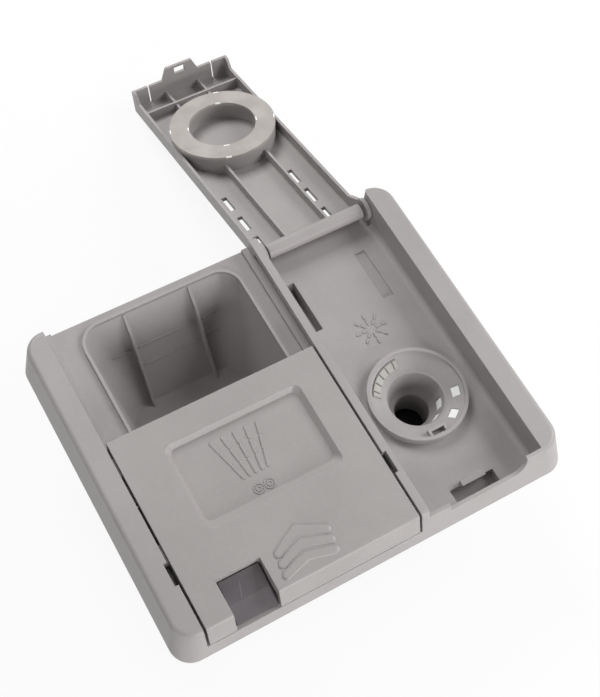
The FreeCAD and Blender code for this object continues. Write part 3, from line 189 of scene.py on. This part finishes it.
upward = Vector((0, 0, 1))
ridge_section = ((-1.0, 0.0), (-0.72, 1.0), (0.72, 1.0), (1.0, 0.0))
ridge_sink = 0.0001
ridge_tip = 0.35


def level_direction(angle):
    """Level direction at this angle in degrees, from X towards Y."""
    turn = math.radians(angle)
    return Vector((math.cos(turn), math.sin(turn), 0))


def join_rings(mesh, low, high):
    """Skin between two rings of as many corners."""
    for corner in range(len(low)):
        after = (corner + 1) % len(low)
        mesh.faces.new((low[corner], low[after], high[after], high[corner]))


def add_ridge(mesh, points, size, up, section):
    """Low ridge of this width and height through the points, standing on the face whose normal is up."""
    width, height = size
    runs = [(end - start).normalized() for start, end in zip(points, points[1:])]
    stations = []
    for index, point in enumerate(points):
        before = runs[max(index - 1, 0)]
        after = runs[min(index, len(runs) - 1)]
        run = (before + after).normalized()
        stations.append((point, up.cross(run) / run.dot(after), 1.0))
    tip = width * ridge_tip
    stations.insert(0, (points[0] - runs[0] * tip, up.cross(runs[0]), ridge_tip))
    stations.append((points[-1] + runs[-1] * tip, up.cross(runs[-1]), ridge_tip))
    rings = []
    for point, side, share in stations:
        ring = []
        for across, lift in section:
            rise = lift * share * height if lift else -ridge_sink
            ring.append(mesh.verts.new(point + side * (across * share * width / 2) + up * rise))
        rings.append(ring)
    for low, high in zip(rings, rings[1:]):
        join_rings(mesh, low, high)
    mesh.faces.new(rings[0][::-1])
    mesh.faces.new(rings[-1])


def fit_piece(name, mesh, material, body):
    """Turns the mesh into a piece that rides on the body."""
    bmesh.ops.recalc_face_normals(mesh, faces=mesh.faces)
    data = bpy.data.meshes.new(name)
    mesh.to_mesh(data)
    mesh.free()
    data.materials.append(material)
    piece = bpy.data.objects.new(name, data)
    bpy.context.scene.collection.objects.link(piece)
    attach(piece, body)
    return piece


def marks_piece(name, ridges, size, material, body, section=ridge_section):
    """One piece made of ridges, each given as its points and the normal that it stands on."""
    mesh = bmesh.new()
    for points, up in ridges:
        add_ridge(mesh, points, size, up, section)
    return fit_piece(name, mesh, material, body)


burst_centre = Vector((0.0487, 0.0146, 0.0020))
burst_rays = 8
burst_dashes = ((0.0024, 0.0042), (0.0053, 0.0072))
burst_ridge = (0.0010, 0.00040)
burst = []
for ray in range(burst_rays):
    outward = level_direction(360 * ray / burst_rays)
    for near, far in burst_dashes:
        burst.append(([burst_centre + outward * near, burst_centre + outward * far], upward))
marks_piece("ray_burst", burst, burst_ridge, body_plastic, "housing")

chamber_rear_y = 0.06565
chamber_top_z = 0.0085
chamber_narrowing = 0.0245
chamber_depth = 0.0380
chamber_lean = chamber_narrowing / chamber_depth
fill_heights = (-0.0060, -0.01365)
fill_spans = ((-0.0538, -0.0443), (-0.0411, -0.0141), (-0.0109, -0.0048))
fill_ridge = (0.0008, 0.0004)
wall_normal = Vector((0, -1, chamber_lean)).normalized()
fill_lines = []
for z in fill_heights:
    y = chamber_rear_y - chamber_lean * (chamber_top_z - z)
    for left, right in fill_spans:
        fill_lines.append(([Vector((left, y, z)), Vector((right, y, z))], wall_normal))
marks_piece("fill_lines", fill_lines, fill_ridge, body_plastic, "housing")


# Level plate: a step on the funnel's cone, moulded with the body, with a paler face and five ticks.
# The level of the rinse aid is read against them. The ticks' dark grey is painted shade, for engraved
# grooves.

funnel_centre = Vector((0.04905, -0.02155, 0))
cone_slope = 0.667
plate_foot = 0.01470
plate_foot_z = 0.00153
plate_film = 0.00006
tick_angles = (95, 108, 121, 134, 147)
tick_reach = (0.0153, 0.0178)
tick_ridge = (0.0006, 0.0002)


def on_plate(angle, radius, lift):
    """Point over the level plate, at this angle and radius of the funnel."""
    z = plate_foot_z + cone_slope * (radius - plate_foot) + lift
    return funnel_centre + level_direction(angle) * radius + upward * z


level_ticks = []
for angle in tick_angles:
    ends = [on_plate(angle, radius, plate_film) for radius in tick_reach]
    plate_normal = (upward - level_direction(angle) * cone_slope).normalized()
    level_ticks.append((ends, plate_normal))
# Painted shade: raised ticks coloured dark to stand for the shadow in engraved lines.
tick_shade_plastic = satin_plastic("tick_shade_plastic", tint(warm_grey, 0.45), 0.50)
marks_piece("level_ticks", level_ticks, tick_ridge, tick_shade_plastic, "housing")

plate_span = (88.7, 153.3)
plate_reach = (0.0149, 0.0181)
plate_steps = 16
plate_pale = (0.362, 0.354, 0.325)
film = bmesh.new()
rings = []
for step in range(plate_steps + 1):
    angle = plate_span[0] + (plate_span[1] - plate_span[0]) * step / plate_steps
    low_in, low_out = [on_plate(angle, radius, -plate_film) for radius in plate_reach]
    top_in, top_out = [on_plate(angle, radius, plate_film) for radius in plate_reach]
    rings.append([film.verts.new(corner) for corner in (low_in, low_out, top_out, top_in)])
for low, high in zip(rings, rings[1:]):
    join_rings(film, low, high)
film.faces.new(rings[0][::-1])
film.faces.new(rings[-1])
plate_plastic = satin_plastic("plate_plastic", plate_pale, 0.46)
fit_piece("level_plate_face", film, plate_plastic, "housing")


# Rinse-aid tank: a deep tub, moulded by itself and welded under the channel.
# Its dark grey is painted shade: the tub is dark all through, so that the funnel above it ends in shade.

def smooth_plastic(name, colour, tints, cloud_size, ripple_size, ripple_depth, roughness, roughness_spread):
    """Moulded plastic without grain: faintly clouded between two tints, with a soft ripple in its skin."""
    material, shade = start_material(name)
    place = shade.node("TexCoord", output="Object")
    cloud = noise(place, cloud_size, 3.0)
    ripple = noise(place, ripple_size)
    skin = shade.node("Bump", {}, {"Strength": 0.15, "Distance": ripple_depth, "Height": ripple})
    plastic = shade.node("BsdfPrincipled", {}, {
        "Base Color": cloud.between(0.3, 0.7).colours(tint(colour, tints[0]), tint(colour, tints[1])),
        "Roughness": roughness + cloud * roughness_spread,
        "Normal": skin,
    })
    shade.node("OutputMaterial", {}, {"Surface": plastic})
    return material


# Painted shade: a dark grey that keeps the funnel's throat looking shadowed.
tank_shade_grey = (0.240, 0.243, 0.240)
tank_shade_plastic = smooth_plastic(
    "tank_shade_plastic", tank_shade_grey, (0.95, 1.05), cloud_size=0.020, ripple_size=0.0020, ripple_depth=0.0003,
    roughness=0.30, roughness_spread=0.20,
)
dress(tank_shade_plastic, "rinse_aid_tank")


# Panes of the funnel's windows: white blocks, two flush with the cone and three with the bowl below it.
# Each fills its open window as painted light: it stands for the bright background seen through the hole.

# Painted light: a white that stands for the bright background seen through open windows.
painted_light_white = (0.88, 0.89, 0.87)
painted_light_plastic = smooth_plastic(
    "painted_light_plastic", painted_light_white, (0.98, 1.07), cloud_size=0.004, ripple_size=0.0010, ripple_depth=0.0002,
    roughness=0.28, roughness_spread=0.15,
)
pane_half = 0.00212
pane_sink = 0.00010
pane_corners = ((0, -1), (1, -1), (1, 1), (0, 1))
cone_panes = (-19, -55)
cone_pane_reach = (0.01520, 0.01820)
cone_pane_low = 0.00115
cone_foot = 0.0133
bowl_panes = (-26, -62, -92)
bowl_pane_heights = (-0.0077, -0.0033)
bowl_pane_back = 0.0123
bowl_top = 0.0122
bowl_narrowing = 0.0027
bowl_depth = 0.0093


def add_block(mesh, corners):
    """Block from eight corners: four below and the four above them, both in turn."""
    below = [mesh.verts.new(corner) for corner in corners[:4]]
    above = [mesh.verts.new(corner) for corner in corners[4:]]
    join_rings(mesh, below, above)
    mesh.faces.new(below[::-1])
    mesh.faces.new(above)


window_light_blocks = bmesh.new()
for angle in cone_panes:
    outward = level_direction(angle)
    sideways = upward.cross(outward) * pane_half
    feet = []
    tops = []
    for end, side in pane_corners:
        radius = cone_pane_reach[end]
        foot = funnel_centre + outward * radius + sideways * side
        feet.append(foot + upward * (cone_pane_low - pane_sink))
        tops.append(foot + upward * (cone_slope * (radius - cone_foot) - pane_sink))
    add_block(window_light_blocks, feet + tops)
for angle in bowl_panes:
    outward = level_direction(angle)
    sideways = upward.cross(outward) * pane_half
    corners = []
    for z in bowl_pane_heights:
        face = bowl_top + z * bowl_narrowing / bowl_depth + pane_sink
        for end, side in pane_corners:
            radius = (face, bowl_pane_back)[end]
            corners.append(funnel_centre + outward * radius + sideways * side + upward * z)
    add_block(window_light_blocks, corners)
fit_piece("painted_window_light", window_light_blocks, painted_light_plastic, "housing")


# Perimeter gasket: a square strip of soft black rubber glued under the skirt, all the way round.
# It was extruded, so its skin has a fine dusty grain and no gloss.

def soft_rubber(name, colour, roughness, grain_size):
    """Matt rubber with a dusty bloom."""
    bloom_size = 0.012
    grain_depth = 0.0003
    material, shade = start_material(name)
    place = shade.node("TexCoord", output="Object")
    bloom = noise(place, bloom_size, 4.0)
    grain = noise(place, grain_size, 3.0)
    skin = shade.node("Bump", {}, {"Strength": 0.35, "Distance": grain_depth, "Height": grain})
    rubber = shade.node("BsdfPrincipled", {}, {
        "Base Color": bloom.between(0.35, 0.70).colours(tint(colour, 0.90), tint(colour, 1.10)),
        "Roughness": roughness + (grain - 0.5) * 0.2,
        "Specular IOR Level": 0.3,
        "Normal": skin,
    })
    shade.node("OutputMaterial", {}, {"Surface": rubber})
    return material


gasket_black = (0.030, 0.030, 0.032)
dress(soft_rubber("gasket_rubber", gasket_black, 0.80, grain_size=0.0008), "perimeter_gasket")


# Sliding detergent lid: a grey moulding that runs in the rails, with a dished thumb recess.
# It comes from a second mould in the same plastic and is a shade warmer than the body.
# A spray fan over two dishes stands in the recess, and three chevrons in front of it show where to push.

lid_grey = (0.327, 0.308, 0.303)
lid_plastic = satin_plastic("lid_plastic", lid_grey, 0.44)
dress(lid_plastic, "detergent_lid")

recess_floor = 0.0140
fan_lines = 5
fan_middle = -0.0286
fan_rear_y = -0.0049
fan_rear_pitch = 0.00515
fan_front_y = -0.0236
fan_front_pitch = 0.00275
fan_dashes = ((0.00, 0.26), (0.32, 0.61), (0.66, 1.00))
fan_ridge = (0.0019, 0.00035)
fan = []
for line in range(fan_lines):
    step = line - (fan_lines - 1) / 2
    rear = Vector((fan_middle + step * fan_rear_pitch, fan_rear_y, recess_floor))
    front = Vector((fan_middle + step * fan_front_pitch, fan_front_y, recess_floor))
    for start, end in fan_dashes:
        fan.append(([rear.lerp(front, start), rear.lerp(front, end)], upward))
marks_piece("spray_fan", fan, fan_ridge, lid_plastic, "sliding_lid")

dish_places_x = (-0.0312, -0.0264)
dish_place_y = -0.0302
dish_radii = (0.0021, 0.0010)
dish_corners = 24
dish_width = 0.0006
dish_height = 0.00025
dishes = bmesh.new()
for x in dish_places_x:
    centre = Vector((x, dish_place_y, recess_floor))
    for radius in dish_radii:
        rings = []
        for corner in range(dish_corners):
            outward = level_direction(360 * corner / dish_corners)
            ring = []
            for across, lift in ridge_section:
                reach = radius + across * dish_width / 2
                rise = lift * dish_height if lift else -ridge_sink
                ring.append(dishes.verts.new(centre + outward * reach + upward * rise))
            rings.append(ring)
        for low, high in zip(rings, rings[1:] + rings[:1]):
            join_rings(dishes, low, high)
fit_piece("dish_marks", dishes, lid_plastic, "sliding_lid")

lid_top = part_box("detergent_lid")[1].z
chevron_apexes = ((-0.0274, -0.0524), (-0.0279, -0.0583), (-0.0286, -0.0635))
chevron_half = 0.0109
chevron_drops = (0.0056, 0.0040, 0.0031)
chevron_ridge = (0.0044, 0.00035)
ramp_section = ((-1.0, 0.0), (-0.4, 0.30), (0.3, 0.75), (0.75, 1.0), (0.92, 0.85), (1.0, 0.0))
chevrons = []
for (x, y), drop in zip(chevron_apexes, chevron_drops):
    left = Vector((x - chevron_half, y - drop, lid_top))
    right = Vector((x + chevron_half, y - drop, lid_top))
    chevrons.append(([left, Vector((x, y, lid_top)), right], upward))
grip = marks_piece(
    "push_chevrons", chevrons, chevron_ridge, lid_plastic, "sliding_lid", ramp_section,
)
grip.data.shade_smooth()


# Chamber seal: a frame of soft grey rubber under the sliding lid, moulded in one piece.
# It closes on the chamber's rim when the lid is shut.

seal_grey = (0.205, 0.200, 0.198)
seal_rubber = soft_rubber("seal_rubber", seal_grey, 0.70, grain_size=0.0007)
dress(seal_rubber, "chamber_seal")


# Release button with its springs: a darker satin moulding that is pressed at the front of the lid.
# One faint scratch runs across its cap. The springs are coiled from drawn steel wire.

button_grey = (0.092, 0.081, 0.087)
button_edge = 0.0004
button_flow_size = 0.012
button_grain_size = 0.00040
button_grain_depth = 0.0002
scratch_x = -0.0573
scratch_start = -0.0650
scratch_end = -0.0578
scratch_lean = 0.32
scratch_sides = (0.00005, 0.00022)
scratch_fade = 0.001
scratch_share = 0.6
button_plastic, shade = start_material("button_plastic")
place = shade.node("TexCoord", output="Object")
cloud = noise(place, button_flow_size, 3.0)
grain = noise(place, button_grain_size)
rounded = shade.node("Bevel", {"samples": 6}, {"Radius": button_edge})
along_x = shade.node("SeparateXYZ", {}, {"Vector": place}, output="X")
along_y = shade.node("SeparateXYZ", {}, {"Vector": place}, output="Y")
off_line = abs(along_x - scratch_x - (along_y - scratch_start) * scratch_lean)
past_start = along_y.between(scratch_start, scratch_start + scratch_fade)
past_end = along_y.between(scratch_end - scratch_fade, scratch_end)
scratch = (1 - off_line.between(*scratch_sides)) * past_start * (1 - past_end) * scratch_share
dark = cloud.between(0.3, 0.7).colours(tint(button_grey, 0.90), tint(button_grey, 1.10))
skin = shade.node("Bump", {}, {
    "Strength": 0.2,
    "Distance": button_grain_depth,
    "Height": grain,
    "Normal": rounded,
})
cap = shade.node("BsdfPrincipled", {}, {
    "Base Color": scratch.colours(dark, tint(button_grey, 2.2)),
    "Roughness": 0.46 + cloud * 0.12,
    "Specular IOR Level": 0.35,
    "Normal": skin,
})
shade.node("OutputMaterial", {}, {"Surface": cap})
dress(button_plastic, "release_button")


def bare_metal(name, colour, roughness):
    """Metal with a finely grained skin and faint stains."""
    grain_size = 0.0006
    grain_depth = 0.0001
    stain_size = 0.006
    material, shade = start_material(name)
    place = shade.node("TexCoord", output="Object")
    grain = noise(place, grain_size, 3.0)
    stain = noise(place, stain_size, 3.0)
    skin = shade.node("Bump", {}, {"Strength": 0.12, "Distance": grain_depth, "Height": grain})
    metal = shade.node("BsdfPrincipled", {}, {
        "Base Color": stain.between(0.3, 0.7).colours(tint(colour, 0.85), tint(colour, 1.10)),
        "Metallic": 1.0,
        "Roughness": roughness + (grain - 0.5) * 0.25,
        "Normal": skin,
    })
    shade.node("OutputMaterial", {}, {"Surface": metal})
    return material


steel_grey = (0.56, 0.56, 0.57)
spring_steel = bare_metal("spring_steel", steel_grey, 0.32)
dress(spring_steel, "lid_return_spring", "latch_spring", "trip_spring", "plunger_spring")


# Rinse-aid flip lid: a ribbed grey moulding with its hinge bar, pins and latch tongue in one piece.
# It shares the sliding lid's plastic, in a copy painted 2% darker as shade, and it is clipped in at its two
# pins.

flip_shaded_plastic = satin_plastic("flip_shaded_plastic", tint(lid_grey, 0.98), 0.42, edge_radius=0.0003)
dress(flip_shaded_plastic, "rinse_lid")


# Soft ring of the flip lid: warm grey rubber, a little paler than the lid and pressed into its seat.
# White stubs stand in the nicks of both its edges as painted highlights, for glints on the ring's edges.
# They are laid out with the lid shut over the funnel, and then turned open with it.

ring_grey = (0.405, 0.376, 0.355)
dress(soft_rubber("ring_rubber", ring_grey, 0.58, grain_size=0.0006), "rinse_lid_seal")

flip_joint = next(joint for joint in frame["joints"] if joint["name"] == "flip_lid_hinge")
hinge = Vector(flip_joint["pos_m"])
shut_turn = math.radians(flip_joint["range_deg"][1])
open_turn = Matrix.Translation(hinge) @ Matrix.Rotation(-shut_turn, 4, "X") @ Matrix.Translation(-hinge)
ring_face_z = 0.0056
ring_edges = (0.0253, 0.0160)
nick_angles = (110, 200, 290, 20)
nub_half = 0.0014
nub_width = 0.0007
nub_height = 0.0007
nub_gap = 0.00005
nub_corners = ((-1, nub_gap), (1, nub_gap), (1, nub_width), (-1, nub_width))
# Painted highlights: white stubs that stand for glints on the ring's edges.
glint_nubs = bmesh.new()
for angle in nick_angles:
    outward = level_direction(angle)
    sideways = outward.cross(upward) * nub_half
    for edge, inward in zip(ring_edges, (-1, 1)):
        corners = []
        for z in (ring_face_z + nub_gap, ring_face_z + nub_height):
            for side, depth in nub_corners:
                shut = funnel_centre + outward * (edge + inward * depth) + sideways * side + upward * z
                corners.append(open_turn @ shut)
        add_block(glint_nubs, corners)
fit_piece("ring_glint_nubs", glint_nubs, painted_light_plastic, "flip_lid")


# Release drive: a pull solenoid with folded steel frame, moulded bobbin, copper winding and brass blades.
# Its plunger lifts the dosing valve's rubber disc and swings the lever that trips the button.

zinc_grey = (0.60, 0.61, 0.60)
brass_yellow = (0.70, 0.52, 0.24)
bobbin_cream = (0.62, 0.60, 0.54)
zinc_plate = bare_metal("zinc_plate", zinc_grey, 0.38)
dress(zinc_plate, "solenoid_frame", "solenoid_plunger", "dosing_rod", "lever_pin")
dress(bare_metal("terminal_brass", brass_yellow, 0.34), "solenoid_terminals")
dress(satin_plastic("bobbin_plastic", bobbin_cream, 0.40), "solenoid_bobbin", "release_lever")
dress(seal_rubber, "valve_disc")

copper_dark = (0.42, 0.15, 0.06)
copper_light = (0.60, 0.24, 0.10)
wire_pitch = 0.0005
wire_depth = 0.0002
lacquer_size = 0.004
copper_wire, shade = start_material("copper_wire")
place = shade.node("TexCoord", output="Object")
along_x = shade.node("SeparateXYZ", {}, {"Vector": place}, output="X")
turns = shade.maths("SINE", along_x * (2 * math.pi / wire_pitch))
lacquer = noise(place, lacquer_size)
skin = shade.node("Bump", {}, {"Strength": 0.7, "Distance": wire_depth, "Height": turns})
wire = shade.node("BsdfPrincipled", {}, {
    "Base Color": lacquer.between(0.3, 0.7).colours(tint(copper_dark), tint(copper_light)),
    "Metallic": 0.9,
    "Roughness": 0.28 + lacquer * 0.15,
    "Normal": skin,
})
shade.node("OutputMaterial", {}, {"Surface": wire})
dress(copper_wire, "solenoid_winding")


# Rear cover: a grey moulded tub over the release drive, held by four sunk cross-head screws in zinc-plated
# steel. It is never seen in the kitchen, and its skin is a little rougher than the front's.

cover_plastic = satin_plastic("cover_plastic", tint(warm_grey, 0.90), 0.52)
dress(cover_plastic, "rear_cover")
dress(zinc_plate, "cover_screws")


# Studio: a pale floor under the part, softboxes in front, behind and on both sides, weak light all round,
# and the camera where the photograph was taken from. The floor shows as white and keeps the shadow.

floor_size = 6.0
floor_gap = 0.0002
paper_white = (0.86, 0.86, 0.86)
pure_white = (1.0, 1.0, 1.0)
shadow_share = 0.10
shadow_reach = (0.30, 0.80)


def seen_rays(shade):
    """1 for rays that show the background: straight, mirrored or through glass."""
    straight = shade.node("LightPath", output="Is Camera Ray")
    mirrored = shade.node("LightPath", output="Is Glossy Ray")
    through = shade.node("LightPath", output="Is Transmission Ray")
    return shade.maths("MINIMUM", straight + mirrored + through, 1.0)


floor_paint, shade = start_material("floor_paint")
place = shade.node("TexCoord", output="Object")
distance = shade.node("VectorMath", {"operation": "LENGTH"}, {0: place}, output="Value")
away = distance.between(*shadow_reach)
paper = shade.node("BsdfDiffuse", {}, {"Color": tint(paper_white)})
glow = shade.node("Emission", {}, {"Color": tint(pure_white), "Strength": 1.0})
paint = shade.node("MixShader", {}, {
    0: seen_rays(shade) * (1 - shadow_share + shadow_share * away),
    1: paper,
    2: glow,
})
shade.node("OutputMaterial", {}, {"Surface": paint})

floor_mesh = bmesh.new()
bmesh.ops.create_grid(floor_mesh, x_segments=1, y_segments=1, size=floor_size / 2)
floor_data = bpy.data.meshes.new("studio_floor")
floor_mesh.to_mesh(floor_data)
floor_mesh.free()
floor_data.materials.append(floor_paint)
floor = bpy.data.objects.new("studio_floor", floor_data)
floor.location.z = cad_box[0][2] - floor_gap
bpy.context.scene.collection.objects.link(floor)

room_light = 0.035
world = bpy.data.worlds.new("studio_room")
world.use_nodes = True
world.node_tree.nodes.clear()
shade = Shade(world.node_tree)
strength = seen_rays(shade) * (1 - room_light) + room_light
room = shade.node("Background", {}, {"Color": tint(pure_white), "Strength": strength})
shade.node("OutputWorld", {}, {"Surface": room})
bpy.context.scene.world = world

softbox_size = 0.45
light_height = 0.50
softboxes = (
    ("front_softbox", Vector((0.05, -0.95, light_height / 2)), 7.6),
    ("right_softbox", Vector((0.70, -0.10, light_height)), 5.5),
    ("left_softbox", Vector((-0.70, -0.05, light_height)), 1.4),
    ("rear_softbox", Vector((0.00, 0.80, light_height * 1.2)), 6.9),
)
for name, stand_place, power in softboxes:
    lamp = bpy.data.lights.new(name, "AREA")
    lamp.size = softbox_size
    lamp.energy = power
    stand = bpy.data.objects.new(name, lamp)
    stand.location = stand_place
    stand.rotation_euler = (-stand_place).to_track_quat("-Z", "Y").to_euler()
    bpy.context.scene.collection.objects.link(stand)

film_width = 36.0
focal_length = 77.44
camera_place = Vector((-0.13716, -0.17957, 0.48290))
camera_right = Vector((0.86670, -0.49352, 0.07259))
camera_up = Vector((0.41014, 0.78785, 0.45944))
camera_lens = bpy.data.cameras.new("photo_camera")
camera_lens.sensor_fit = "HORIZONTAL"
camera_lens.sensor_width = film_width
camera_lens.lens = focal_length
camera = bpy.data.objects.new("photo_camera", camera_lens)
camera_turn = Matrix((camera_right, camera_up, camera_right.cross(camera_up))).transposed()
camera.matrix_world = Matrix.Translation(camera_place) @ camera_turn.to_4x4()
bpy.context.scene.collection.objects.link(camera)
bpy.context.scene.camera = camera
bpy.context.scene.view_settings.view_transform = "Standard"
